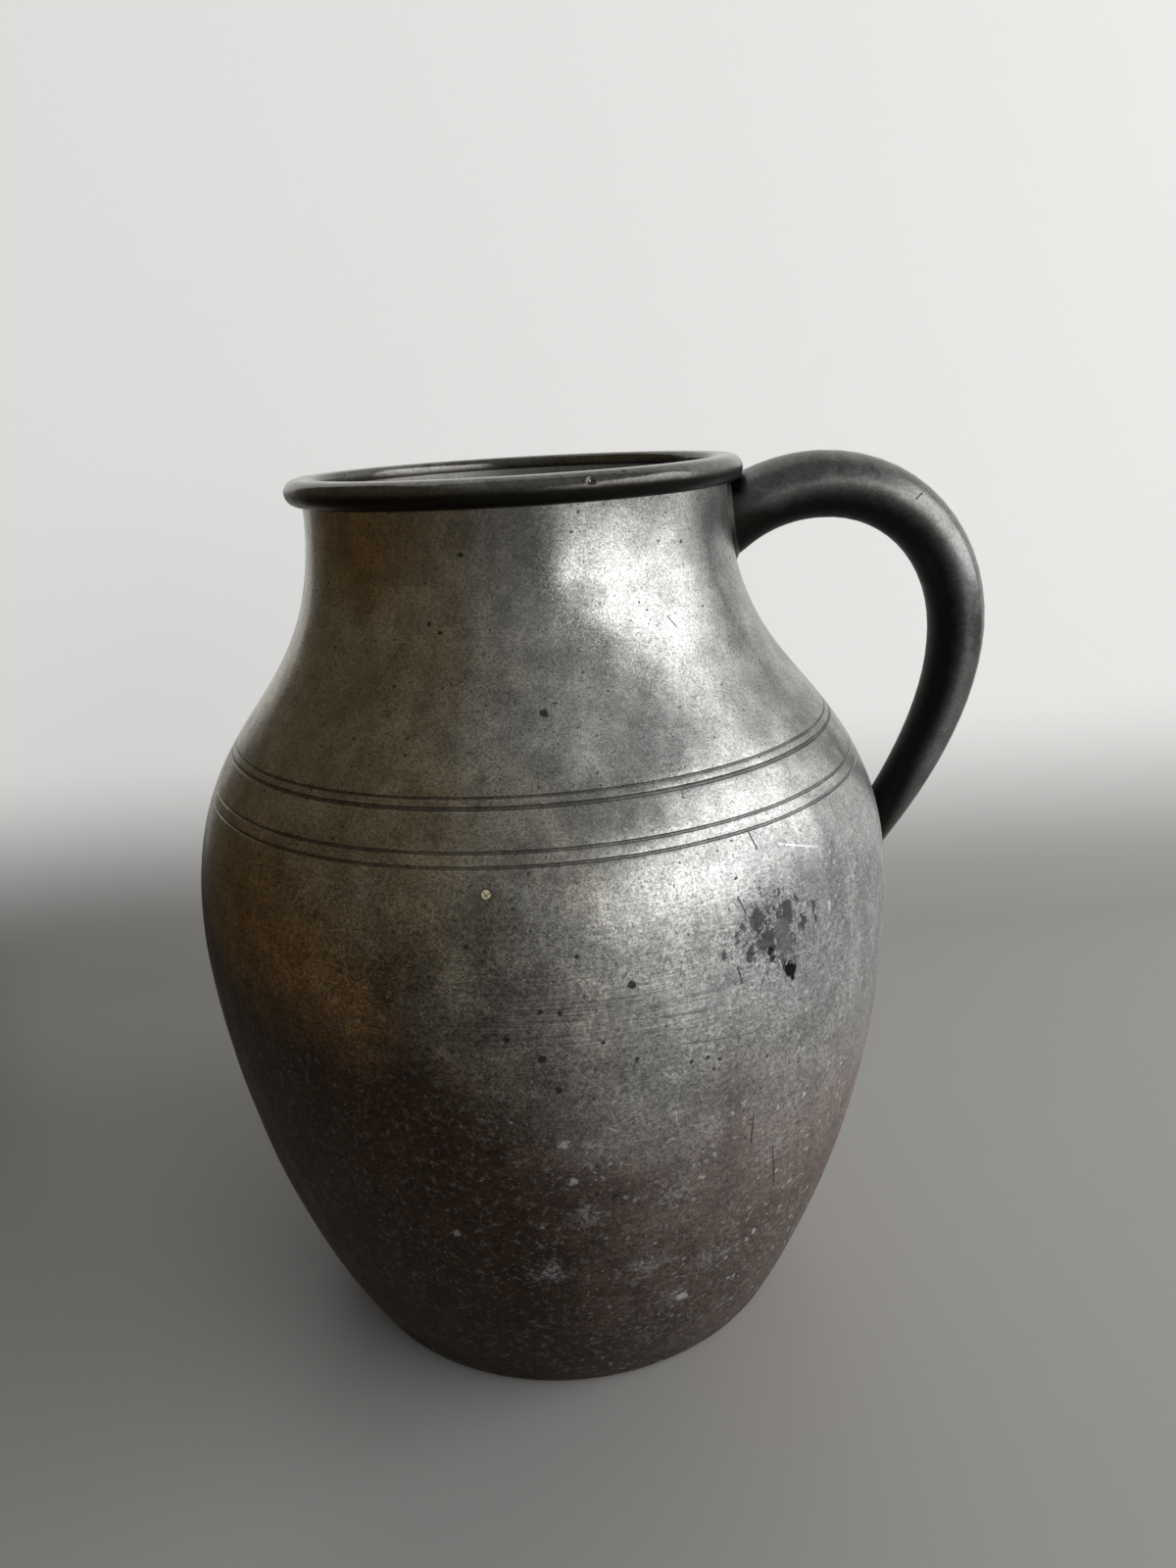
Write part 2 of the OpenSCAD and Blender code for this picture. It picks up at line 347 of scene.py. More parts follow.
# Left by work on the lathe and by hand: fine level lines, broad level bands and upright wipes
tree, enter, leave = startGroup("turnMarks", {"Rate": 1.0}, ["Lines", "Bands", "Wipes"])
turnMarks = tree
tight = cloudy(tree, inMillimetres(tree, (0.06, 0.06, 4.2)), enter["Rate"], 2.0, Roughness=0.65)[0]
tree.links.new(tight, leave["Lines"])
broad = cloudy(tree, inMillimetres(tree, (0.012, 0.012, 0.22)), enter["Rate"], 2.0)[0]
tree.links.new(broad, leave["Bands"])
wiped = cloudy(tree, inMillimetres(tree, (0.3, 0.3, 0.03)), enter["Rate"], 2.0)[0]
tree.links.new(wiped, leave["Wipes"])

# Tarnish in soft clouds, smaller mottles and fine ones
tree, enter, leave = startGroup("tarnishCloud", {"Size": 40.0}, ["Cloud", "Mottle", "Fine"])
tarnishCloud = tree
spots = inMillimetres(tree)
rate = ratio(tree, 1.0, enter["Size"])
soft = cloudy(tree, spots, rate, 3.0, Distortion=0.4)[0]
tree.links.new(soft, leave["Cloud"])
small = cloudy(tree, spots, times(tree, rate, 7.0), 4.0, Roughness=0.6)[0]
tree.links.new(small, leave["Mottle"])
tiny = cloudy(tree, spots, times(tree, rate, 48.0), 2.0, Roughness=0.75)[0]
tree.links.new(tiny, leave["Fine"])

# Pale bloom: bright specks of uneven outline that gather in crowds, and smudges left by water
tree, enter, leave = startGroup("paleBloom", {"Spacing": 1.3, "Width": 0.2}, ["Specks", "Smudges"])
paleBloom = tree
spots = inMillimetres(tree)
patches = cloudy(tree, spots, 0.8, 4.0, Roughness=0.75)
tree.links.new(fade(tree, patches[0], 0.52, 0.68), leave["Smudges"])
bent = vector(tree, "ADD", spots, scaled(tree, patches[1], 1.6))
ragged = cloudy(tree, spots, 4.0, 1.0)[1]
bent = put(tree, "VectorMath", {0: ragged, 1: (0.45, 0.45, 0.45), 2: bent}, operation="MULTIPLY_ADD").outputs[0]
cells = put(tree, "TexVoronoi", {"Vector": bent, "Scale": ratio(tree, 1.0, enter["Spacing"])}).outputs
chance = put(tree, "SeparateColor", {0: cells["Color"]}).outputs
crowd = fade(tree, cloudy(tree, spots, 0.11, 2.0, Roughness=0.6)[0], 0.35, 0.65, -0.2, 0.3)
width = times(tree, fade(tree, plus(tree, chance[0], crowd), 0.52, 1.05), enter["Width"])
solid = fade(tree, minus(tree, width, cells["Distance"]), 0.0, 0.05)
tree.links.new(times(tree, solid, fade(tree, chance[1], 0.0, 1.0, 0.4, 1.0)), leave["Specks"])

# One round mark, solid or a ring, and one scratch between two places
origin = (0.0, 0.0, 0.0)
tree, enter, leave = startGroup("roundMark", {"Place": origin, "Centre": origin, "Radius": 1.0, "Soft": 0.5,
                                              "Ragged": 0.0}, ["Mark", "Ring"])
roundMark = tree
away = measure(tree, "DISTANCE", enter["Place"], enter["Centre"])
gap = minus(tree, plus(tree, away, enter["Ragged"]), enter["Radius"])
gap = ratio(tree, gap, enter["Soft"])
tree.links.new(fade(tree, gap, 0.5, -0.5), leave["Mark"])
tree.links.new(fade(tree, sums(tree, "ABSOLUTE", gap), 1.0, 0.2), leave["Ring"])

tree, enter, leave = startGroup("scratchMark", {"Place": origin, "Start": origin, "End": (1.0, 0.0, 0.0),
                                                "Width": 0.1}, ["Mark"])
scratchMark = tree
run = vector(tree, "SUBTRACT", enter["End"], enter["Start"])
here = vector(tree, "SUBTRACT", enter["Place"], enter["Start"])
along = measure(tree, "DOT_PRODUCT", here, run)
along = ratio(tree, along, measure(tree, "DOT_PRODUCT", run, run))
along = sums(tree, "MAXIMUM", sums(tree, "MINIMUM", along, 1.0), 0.0)
away = measure(tree, "DISTANCE", here, scaled(tree, run, along))
tree.links.new(fade(tree, ratio(tree, away, enter["Width"]), 1.0, 0.3), leave["Mark"])


def startMaterial(name):
    material = bpy.data.materials.new(name)
    material.use_nodes = True
    return material, material.node_tree, material.node_tree.nodes["Principled BSDF"]


def giveRelief(tree, skin, relief):
    bump = put(tree, "Bump", {"Height": relief, "Strength": 1.0, "Distance": mm})
    tree.links.new(bump.outputs[0], skin.inputs["Normal"])


def raggedEdge(tree, spots, rate, reach):
    return times(tree, minus(tree, cloudy(tree, spots, rate, 3.0, Roughness=0.6)[0], 0.5), reach)


def roundMarks(tree, spots, places, soft, ragged=0.0, output="Mark", stretch=(1, 1, 1)):
    common = {"Place": spots, "Soft": soft, "Ragged": ragged}
    centres = ((spotOnBody(u, w) * Vector(stretch), wide) for u, w, wide in places)
    return anyOf(tree, (useGroup(tree, roundMark, Centre=centre, Radius=wide, **common)[output]
                        for centre, wide in centres))


def unroll(column, row):
    p = spotOnBody(column, row)
    return Vector((math.atan2(p.x, -p.y) * body["unrollRadius"], p.z, 0))


def unrolledSkin(tree, right, back, up):
    turn = sums(tree, "ARCTAN2", right, times(tree, back, -1.0))
    return put(tree, "CombineXYZ", {0: times(tree, turn, body["unrollRadius"]), 1: up}).outputs[0]


def scratches(tree, spots, places, width, find=unroll):
    return anyOf(tree, (useGroup(tree, scratchMark, Place=spots, Start=find(*a), End=find(*b), Width=width)["Mark"]
                        for a, b in places))


# Body: grey pewter, browner and darker below the belly, part tarnish and part painted shade, with painted shade and
# highlights in places, pitted, with the marks that the photograph shows
bodySkin = {
    # colours
    "grey": (0.4, 0.404, 0.392, 1), "shadedOlive": (0.34, 0.308, 0.24, 1), "brown": (0.3, 0.17, 0.055, 1),
    "lowLitColour": (0.287, 0.224, 0.193, 1), "lowShadedColour": (0.05, 0.028, 0.015, 1), "inside": (0.34, 0.334, 0.32, 1),
    "pit": (0.03, 0.03, 0.029, 1), "eaten": (0.032, 0.034, 0.036, 1), "hole": (0.004, 0.004, 0.004, 1),
    "worn": (0.19, 0.2, 0.208, 1), "pale": (0.6, 0.63, 0.66, 1), "white": (0.78, 0.8, 0.82, 1),
    "bare": (0.8, 0.81, 0.82, 1), "gold": (1, 0.87, 0.6, 1),
    # how much of a mark shows
    "amount": {"brown": 0.65, "haze": 0.44, "hazeChalk": 0.3, "ring": 0.22, "bright": 0.8, "eaten": 0.85, "worn": 0.8,
               "spot": 0.9, "greySpot": 0.4, "stain": 0.35, "scrape": 0.55, "nick": 0.85, "pit": 0.8, "tinyPit": 0.75,
               "groove": 0.6, "glint": 0.9, "goldCut": 0.8, "inside": 0.85},
    # changes over the height or the width: from, to, and the amounts there
    "cloudShift": 40, "lowSlant": 0.4, "lowHeight": (88, 56), "shadedLeftSide": (24, -34), "lowShadeSide": (49, -14),
    "lowShadeDepth": (-12, 40, 1, 0.35), "footShade": (2, 62, 0.6, 1), "neckShade": (124, 143, 1, 0.78),
    "unevenHeight": (106, 84, 0.4, 2.1), "brushHeight": (100, 84, 0.25, 0.9), "grainHeight": (104, 80, 0.6, 0.9),
    "smudgeHeight": (105, 60, 0.06, 0.42), "smudgeSide": (-30, 40, 0.3, 1), "hazeSide": (-12, 36),
    "hazeFoot": (24, 58), "hazeTop": (106, 84), "speckHeight": (130, 76, 0.22, 0.85), "speckSide": (-34, 24, 0.4, 1),
    "flakeHeight": (104, 84, 0, 0.85), "flakeSide": (-14, 46, 0.1, 1), "whiteSide": (-30, 14, 0.3, 0.6),
    "unrubbedSide": (10, 30), "unrubbedHeight": (94, 112), "roughHeight": (116, 98, 0.19, 0.3),
    # changes with a pattern
    "mottle": (0.32, 0.68, 0.8, 1.2), "bands": (0.3, 0.7, 0.96, 1.04), "wipes": (0.3, 0.7, 0.92, 1.08),
    "wipedRough": (0.3, 0.7, -0.04, 0.05), "dust": (0.4, 0.66, 0.05, 0.5), "broken": (0.36, 0.56),
    "scrapedBrush": 1.2, "scrapedGrain": 0.6, "leftGrain": 0.2,
    "paintedSheenTone": 1.4, "paintedHighlightTone": 1.5, "paintedShadeTone": 0.66,
    # finish and relief
    "lowRough": (0.19, 0.5), "markRough": 0.3, "insideRough": 0.08, "unrubbedRough": 0.13, "lowMetal": (0.92, 0.68),
    "chalkMetal": 0.2, "insideMetal": 0.6, "gloss": 0.25, "grainDepth": 0.011, "pitDepth": 0.03, "lineDepth": 0.003,
    # round marks: column and row in the photograph, and radius
    "brownReflections": [(362, 552, 9), (250, 930, 11), (300, 985, 9), (350, 1020, 6)],
    "paintedSheen": [(738, 985, 10)], "scraped": (630, 1040, 17), "scrapedStretch": (1, 3.4, 0),
    "paintedHighlight": [(622, 945, 4), (622, 1000, 4), (618, 1045, 4), (612, 700, 4), (602, 750, 5)],
    "paintedShadeSpots": [(405, 1000, 6), (505, 955, 5), (512, 1005, 5), (500, 1050, 4)],
    "spots": [(644, 1005, 0.62), (404, 702, 0.45), (555, 728, 0.62), (566, 717, 0.32), (438, 637, 0.42),
              (449, 646, 0.35), (553, 1081, 0.6), (570, 1113, 0.45), (551, 1033, 0.35), (571, 1034, 0.35),
              (616, 1064, 0.3), (628, 1220, 0.4), (706, 1083, 0.32), (722, 1079, 0.3), (735, 1080, 0.36),
              (729, 1091, 0.25), (517, 1061, 0.45), (416, 1097, 0.45), (437, 1071, 0.35), (589, 976, 0.4),
              (650, 1081, 0.3), (476, 966, 0.4), (362, 756, 0.4), (470, 566, 0.35)],
    "greySpots": [(657, 708, 0.9), (639, 672, 0.7), (397, 729, 0.8), (476, 966, 0.9)], "stain": [(600, 606, 2.7)],
    "patch": (793, 952, 5.4), "patchAbout": (793, 952, 8.1), "worns": [(798, 948, 1.6), (801, 962, 1.5)],
    "blots": [(772, 938, 1.15), (803, 930, 1.05), (765, 974, 0.7), (786, 956, 1.0), (819, 940, 0.6), (752, 957, 0.5),
              (780, 962, 0.8), (830, 923, 0.45), (812, 917, 0.45), (794, 912, 0.35), (832, 938, 0.4), (738, 977, 0.35),
              (756, 944, 0.45)],
    "blotStretch": (1, 1, 0.62), "patchDepth": 0.06, "patchRagged": 2.5,
    "holes": [(787, 971, 0.62), (788, 979, 0.45), (804, 985, 0.85), (808, 990, 1.05), (809, 997, 0.45)],
    "holeDepth": 0.7, "holeSpread": 1.5, "holeRagged": 0.5,
    "rings": [(592, 1108, 1.4), (668, 1093, 0.9)], "goldSpot": (496, 913, 0.66),
    "paleSpots": [(575, 1168, 0.6), (585, 1206, 0.5), (696, 1323, 0.9), (466, 1259, 0.6), (678, 1016, 0.35),
                  (701, 1003, 0.4), (759, 1125, 0.35), (716, 1200, 0.4), (604, 1169, 0.35), (806, 1204, 0.4)],
    "blooms": [(788, 1170, 3.4), (690, 1322, 1.8), (726, 1282, 2.8), (660, 1288, 2.4), (812, 1116, 2.8),
               (690, 1215, 2.6), (836, 1060, 2.6), (560, 1300, 2.2), (640, 1120, 2.0), (730, 1150, 2.0),
               (372, 906, 1.3), (530, 915, 1.3), (600, 1240, 2.0), (760, 1060, 2.4)],
    # scratches: from one place in the photograph to another
    "scrapes": [((634, 1041), (724, 1030)), ((602, 1056), (655, 1049)), ((696, 1065), (768, 1054)),
                ((631, 1023), (654, 1020)), ((446, 1046), (470, 1047)), ((545, 1043), (598, 1040)),
                ((724, 1036), (766, 1026)), ((655, 1054), (712, 1047))],
    "nicks": [((764, 850), (772, 866)), ((752, 915), (760, 930)), ((683, 629), (693, 640)), ((769, 1137), (766, 1166)),
              ((788, 1170), (789, 1210)), ((624, 1223), (633, 1216)), ((752, 986), (757, 1003))],
    "brights": [((795, 861), (835, 864)), ((706, 888), (709, 909)), ((716, 890), (727, 905)), ((805, 974), (807, 984)),
                ((788, 946), (794, 945)), ((877, 930), (881, 942)), ((866, 975), (869, 985)),
                ((846, 1034), (850, 1042)), ((812, 1020), (815, 1030)), ((690, 1134), (691, 1147)),
                ((677, 1094), (684, 1100)), ((684, 1100), (688, 1095)), ((622, 1151), (629, 1154)),
                ((711, 1347), (717, 1341)), ((727, 1338), (731, 1334)), ((680, 1166), (686, 1161)),
                ((815, 1216), (819, 1209))],
    "glints": [((805, 977), (806, 985)), ((795, 979), (797, 986))],
    "goldCuts": [((493, 910), (499, 917)), ((500, 911), (494, 915))],
}
bodyMetal, tree, skin = startMaterial("pewterBody")
spots = inMillimetres(tree)
right, back, up = put(tree, "SeparateXYZ", {0: spots}).outputs
unrolled = unrolledSkin(tree, right, back, up)


def byHeight(key):
    return fade(tree, up, *bodySkin[key])


def bySide(key):
    return fade(tree, right, *bodySkin[key])


def shown(mark, key):
    return times(tree, mark, bodySkin["amount"][key])


def marked(key, soft, ragged=0.0, output="Mark"):
    return roundMarks(tree, spots, bodySkin[key], soft, ragged, output)


def scored(key, width):
    return scratches(tree, unrolled, bodySkin[key], width)


grain = useGroup(tree, sandGrain, Size=0.21)
pits = useGroup(tree, pitMarks, Spacing=3.2, Share=0.45, Width=0.42)["Pits"]
tinyPits = useGroup(tree, pitMarks, Spacing=1.3, Share=0.6, Width=0.28)["Pits"]
lines = useGroup(tree, turnMarks, Rate=1.0)
cloud = useGroup(tree, tarnishCloud, Size=38.0)
bloom = useGroup(tree, paleBloom, Spacing=1.0, Width=0.2)
flakes = useGroup(tree, paleBloom, Spacing=1.5, Width=0.32)["Specks"]

# Ground colour, from grey to a darker olive on the left, which is painted shade and a painted warm reflection, and to
# brown below
shift = times(tree, minus(tree, cloud["Cloud"], 0.5), bodySkin["cloudShift"])
shifted = plus(tree, right, shift)
# The brown lower colour is part tarnish and part painted shade; it reaches higher on the left, the shaded side
slanted = plus(tree, up, times(tree, right, bodySkin["lowSlant"]), shift)
lowness = fade(tree, slanted, *bodySkin["lowHeight"])
shadedLeft = fade(tree, shifted, *bodySkin["shadedLeftSide"])
# Painted shade: the lower colour comes as a lit copy on the right and a much darker shaded copy on the lower left front
lowLeftShade = times(tree, fade(tree, shifted, *bodySkin["lowShadeSide"]), fade(tree, back, *bodySkin["lowShadeDepth"]))
colour = blend(tree, shadedLeft, bodySkin["grey"], bodySkin["shadedOlive"])
colour = blend(tree, lowness, colour, blend(tree, lowLeftShade, bodySkin["lowLitColour"], bodySkin["lowShadedColour"]))
# Soft brown patches on the left: painted brown reflections of the surroundings
wideEdge = raggedEdge(tree, spots, rate=0.16, reach=14.0)
brown = marked("brownReflections", soft=14.0, ragged=wideEdge)
colour = blend(tree, shown(brown, "brown"), colour, bodySkin["brown"])

# Lighter and darker places: mottles, streaks, brushed lines and grain, painted shade at the foot and under the rim, a
# painted sheen, painted highlights and painted shade spots
# Painted shade: darker towards the foot and just under the rim
shade = times(tree, byHeight("footShade"), byHeight("neckShade"))
mottle = times(tree, fade(tree, cloud["Mottle"], *bodySkin["mottle"]), shade)
uneven = times(tree, minus(tree, cloud["Fine"], 0.48), byHeight("unevenHeight"))
mottle = times(tree, mottle, plus(tree, uneven, 1.0))
streaks = times(tree, fade(tree, lines["Bands"], *bodySkin["bands"]), fade(tree, lines["Wipes"], *bodySkin["wipes"]))
u, w, wide = bodySkin["scraped"]
scraped = useGroup(tree, roundMark, Place=vector(tree, "MULTIPLY", unrolled, bodySkin["scrapedStretch"]),
                   Centre=unroll(u, w) * Vector(bodySkin["scrapedStretch"]), Radius=wide, Soft=wide)["Mark"]
brush = plus(tree, byHeight("brushHeight"), times(tree, scraped, bodySkin["scrapedBrush"]))
brushed = times(tree, minus(tree, lines["Lines"], 0.5), brush)
strength = plus(tree, byHeight("grainHeight"), times(tree, shadedLeft, bodySkin["leftGrain"]))
strength = times(tree, strength, gain(tree, scraped, bodySkin["scrapedGrain"]))
speckled = times(tree, minus(tree, grain["Grain"], 0.5), strength)
sandy = times(tree, plus(tree, brushed, 1.0), plus(tree, speckled, 1.0))
# Painted sheen: a brighter round place on the right of the belly
paintedSheen = marked("paintedSheen", soft=18.0)
tone = times(tree, mottle, streaks, sandy, gain(tree, paintedSheen, bodySkin["paintedSheenTone"]))
# Painted highlights: small brighter places in a row on the shoulder and belly, along a reflection's edge
paintedHighlight = marked("paintedHighlight", soft=9.0, ragged=raggedEdge(tree, spots, rate=0.4, reach=5.0))
tone = times(tree, tone, gain(tree, paintedHighlight, bodySkin["paintedHighlightTone"]))
# Painted shade: darker places left of the middle of the belly
paintedShadeSpots = marked("paintedShadeSpots", soft=11.0, ragged=raggedEdge(tree, spots, rate=0.3, reach=6.0))
tone = times(tree, tone, gain(tree, paintedShadeSpots, bodySkin["paintedShadeTone"]))
toned = scaled(tree, colour, tone)

# Pale marks
fineEdge = raggedEdge(tree, spots, rate=1.9, reach=0.9)
broadEdge = raggedEdge(tree, spots, rate=0.7, reach=4.0)
smudge = times(tree, bloom["Smudges"], byHeight("smudgeHeight"))
smudge = times(tree, smudge, bySide("smudgeSide"))
haze = times(tree, fade(tree, shifted, *bodySkin["hazeSide"]), byHeight("hazeFoot"))
haze = shown(times(tree, haze, byHeight("hazeTop")), "haze")
speck = times(tree, bloom["Specks"], byHeight("speckHeight"))
speck = times(tree, speck, bySide("speckSide"))
flake = times(tree, flakes, byHeight("flakeHeight"))
flake = times(tree, flake, bySide("flakeSide"))
white = marked("paleSpots", soft=0.6, ragged=times(tree, fineEdge, 2.6))
white = times(tree, white, bySide("whiteSide"))
ringed = shown(marked("rings", soft=0.4, ragged=fineEdge, output="Ring"), "ring")
bright = shown(scored("brights", width=0.15), "bright")
dusty = marked("blooms", soft=3.6, ragged=times(tree, broadEdge, 1.6))
dusty = times(tree, dusty, fade(tree, cloud["Fine"], *bodySkin["dust"]))
chalk = anyOf(tree, [smudge, dusty, ringed, shown(haze, "hazeChalk")])
toned = blend(tree, chalk, toned, bodySkin["pale"])
toned = blend(tree, anyOf(tree, [flake, white]), toned, bodySkin["white"])
chalk = anyOf(tree, [chalk, flake, white])
bare = anyOf(tree, [speck, bright])
toned = blend(tree, bare, toned, bodySkin["bare"])

# Corroded patch on the right of the belly
near = roundMarks(tree, spots, [bodySkin["patch"]], soft=5.4)
upright = vector(tree, "MULTIPLY", spots, bodySkin["blotStretch"])
eaten = cloudy(tree, upright, 1.1, 5.0, Roughness=0.76)[0]
eaten = fade(tree, plus(tree, eaten, times(tree, near, 0.21)), 0.7, 0.74)
about = roundMarks(tree, spots, [bodySkin["patchAbout"]], soft=8.64)
dotted = cloudy(tree, spots, 1.9, 3.0, Roughness=0.7)[0]
dotted = fade(tree, plus(tree, dotted, times(tree, about, 0.12)), 0.65, 0.7)
dotted = times(tree, dotted, fade(tree, about, 0.0, 0.3, 0.0, 0.85))
blot = roundMarks(tree, upright, bodySkin["blots"], soft=0.35, ragged=raggedEdge(tree, spots, rate=1.3, reach=2.4),
                  stretch=bodySkin["blotStretch"])
eaten = anyOf(tree, [times(tree, eaten, near), blot, dotted])
toned = blend(tree, shown(eaten, "eaten"), toned, bodySkin["eaten"])
worn = marked("worns", soft=0.8, ragged=fineEdge)
toned = blend(tree, shown(worn, "worn"), toned, bodySkin["worn"])

# Dark marks
stain = marked("stain", soft=2.2, ragged=broadEdge)
hole = marked("holes", soft=0.35, ragged=fineEdge)
spot = shown(marked("spots", soft=0.24, ragged=fineEdge), "spot")
greySpot = marked("greySpots", soft=0.9, ragged=fineEdge)
broken = fade(tree, cloud["Mottle"], *bodySkin["broken"])
scrape = shown(times(tree, scored("scrapes", width=0.14), broken), "scrape")
nick = shown(scored("nicks", width=0.2), "nick")
fleck = times(tree, grain["Flecks"], fade(tree, anyOf(tree, [stain, near]), 0.0, 1.0, 0.55, 0.85))
groove = attribute(tree, "grooveDirt")
dark = anyOf(tree, [shown(pits, "pit"), shown(tinyPits, "tinyPit"), spot, scrape, nick, fleck,
                    shown(greySpot, "greySpot"), shown(stain, "stain"), shown(groove, "groove")])
toned = blend(tree, dark, toned, bodySkin["pit"])
toned = blend(tree, hole, toned, bodySkin["hole"])
# Painted glints: short white streaks in the holes
glint = shown(scored("glints", width=0.17), "glint")
toned = blend(tree, glint, toned, bodySkin["white"])

# Golden spot, and the inside
u, w, wide = bodySkin["goldSpot"]
pin = useGroup(tree, roundMark, Place=spots, Centre=spotOnBody(u, w), Radius=wide, Soft=0.22)
toned = blend(tree, pin["Ring"], toned, bodySkin["pit"])
toned = blend(tree, times(tree, pin["Mark"], fade(tree, grain["Grain"], 0.0, 0.3, 0.5, 1.0)), toned, bodySkin["gold"])
cuts = shown(scored("goldCuts", width=0.1), "goldCut")
toned = blend(tree, cuts, toned, bodySkin["pit"])
inside = attribute(tree, "inside")
toned = blend(tree, shown(inside, "inside"), toned, bodySkin["inside"])
tree.links.new(toned, skin.inputs["Base Color"])

# Rougher below, on marks, inside and where a hand can't rub beside the handle
rough = anyOf(tree, [fade(tree, lowness, 0.0, 1.0, *bodySkin["lowRough"]), byHeight("roughHeight")])
rough = plus(tree, rough, fade(tree, lines["Wipes"], *bodySkin["wipedRough"]))
rough = plus(tree, rough, times(tree, anyOf(tree, [dark, smudge, eaten, hole]), bodySkin["markRough"]))
rough = plus(tree, rough, times(tree, inside, bodySkin["insideRough"]))
unrubbed = times(tree, bySide("unrubbedSide"), byHeight("unrubbedHeight"))
rough = plus(tree, rough, times(tree, unrubbed, bodySkin["unrubbedRough"]))
tree.links.new(rough, skin.inputs["Roughness"])
metal = minus(tree, fade(tree, lowness, 0.0, 1.0, *bodySkin["lowMetal"]), haze)
metal = times(tree, metal, gain(tree, anyOf(tree, [chalk, glint, pin["Mark"]]), bodySkin["chalkMetal"]))
metal = times(tree, anyOf(tree, [metal, bare]), gain(tree, inside, bodySkin["insideMetal"]))
tree.links.new(metal, skin.inputs["Metallic"])
skin.inputs["Specular IOR Level"].default_value = bodySkin["gloss"]

relief = times(tree, grain["Relief"], bodySkin["grainDepth"])
relief = plus(tree, relief, times(tree, lines["Lines"], bodySkin["lineDepth"]))
relief = minus(tree, relief, times(tree, pits, bodySkin["pitDepth"]))
giveRelief(tree, skin, relief)
print("finished the body's skin")

# Smoother metal of the other pieces; a near-black colour darkens pits, nicks and what an attribute of the piece names,
# which paints shade under the rim's roll, on the handle's inner side and at its ends
smooth = {"grainSize": 0.4, "grainTone": (0, 1, 0.85, 1.15), "grainDepth": 0.006, "cloudSize": 22.0,
          "lowCloud": (0.35, 0.65), "mottleTone": (0.3, 0.7, 0.82, 1.18), "mottleRough": (0.3, 0.7, -0.05, 0.06),
          "mottleShade": 0.3, "darkRough": 0.25,
          "pitSpacing": 3.4, "pitWidth": 0.4, "pitAmount": 0.7, "nickWidth": 0.2, "nickAmount": 0.8,
          "darkening": (0.012, 0.01, 0.008, 1), "shadeFade": (0.3, 0.78, 0, 0.95)}


def smoothMetal(name, grey, low, rough, pitShare, darkening=None, nicks=(), find=None):
    material, tree, skin = startMaterial(name)
    grain = useGroup(tree, sandGrain, Size=smooth["grainSize"])
    pits = useGroup(tree, pitMarks, Spacing=smooth["pitSpacing"], Share=pitShare, Width=smooth["pitWidth"])["Pits"]
    cloud = useGroup(tree, tarnishCloud, Size=smooth["cloudSize"])
    colour = blend(tree, fade(tree, cloud["Cloud"], *smooth["lowCloud"]), (*grey, 1), (*low, 1))
    tone = fade(tree, cloud["Mottle"], *smooth["mottleTone"])
    tone = times(tree, tone, fade(tree, grain["Grain"], *smooth["grainTone"]))
    dark = [times(tree, pits, smooth["pitAmount"])]
    if nicks:
        cuts = scratches(tree, inMillimetres(tree), nicks, smooth["nickWidth"], find)
        dark.append(times(tree, cuts, smooth["nickAmount"]))
    if darkening:
        waver = times(tree, minus(tree, cloud["Mottle"], 0.5), smooth["mottleShade"])
        dark.append(fade(tree, plus(tree, attribute(tree, darkening), waver), *smooth["shadeFade"]))
    dark = anyOf(tree, dark)
    tree.links.new(blend(tree, dark, scaled(tree, colour, tone), smooth["darkening"]), skin.inputs["Base Color"])
    start, end, less, more = smooth["mottleRough"]
    spread = fade(tree, cloud["Mottle"], start, end, rough + less, rough + more)
    spread = plus(tree, spread, times(tree, dark, smooth["darkRough"]))
    tree.links.new(spread, skin.inputs["Roughness"])
    skin.inputs["Metallic"].default_value = 1
    giveRelief(tree, skin, times(tree, grain["Relief"], smooth["grainDepth"]))
    return material


rimMetal = smoothMetal("pewterRim", (0.172, 0.171, 0.164), (0.122, 0.118, 0.106), 0.16, 0.2, "rimUnderShade")
baseMetal = smoothMetal("pewterBase", (0.26, 0.255, 0.245), (0.18, 0.17, 0.155), 0.48, 0.3)
solderMetal = smoothMetal("softSolder", (0.06, 0.056, 0.051), (0.035, 0.032, 0.029), 0.45, 0.3)
print("finished the other metals")

# Lower half: foot, wall, lip and the seat of the base disc
base = {"recess": 1.5, "thick": 2.2, "margin": 0.5, "ledge": 1.5, "bevel": 0.3, "fillet": 1.2, "bite": 0.4,
        "hollow": (0.35, 0.3)}
baseTop = base["recess"] + base["thick"]
baseRadius = radiusAt(baseTop, innerLine) - base["margin"]
seam, neckTop, edge = body["seam"], body["neckTop"], body["footEdge"]
seamOut, lipIn = radiusAt(seam), radiusAt(seam, innerLine)

lowerSection = [(baseRadius - base["ledge"], 0), (radiusAt(0) - edge, 0)]
for a in (math.radians(k) for k in body["footAngles"]):
    z = edge * (1 - math.cos(a))
    lowerSection.append((radiusAt(z) - edge * (1 - math.sin(a)) * body["footTuck"], z))
lowerSection += between(outerLine, edge, seam - body["notch"])
lowerSection += [(seamOut - body["notch"], seam), (lipIn + body["lipThick"], seam),
                 (lipIn + body["lipThick"], seam + body["lipRise"]), (lipIn, seam + body["lipRise"])]
lowerSection += between(innerLine, baseTop, seam)[::-1]
lowerSection += [(baseRadius + body["seatGap"], baseTop), (baseRadius + body["seatGap"], base["recess"]),
                 (baseRadius - base["ledge"], base["recess"])]
lowerMesh = spinSection(lowerSection)
markSunk(lowerMesh, False)
settleMesh(lowerMesh)
finishPiece("lowerBowl", lowerMesh, bodyMetal, "lower_bowl")

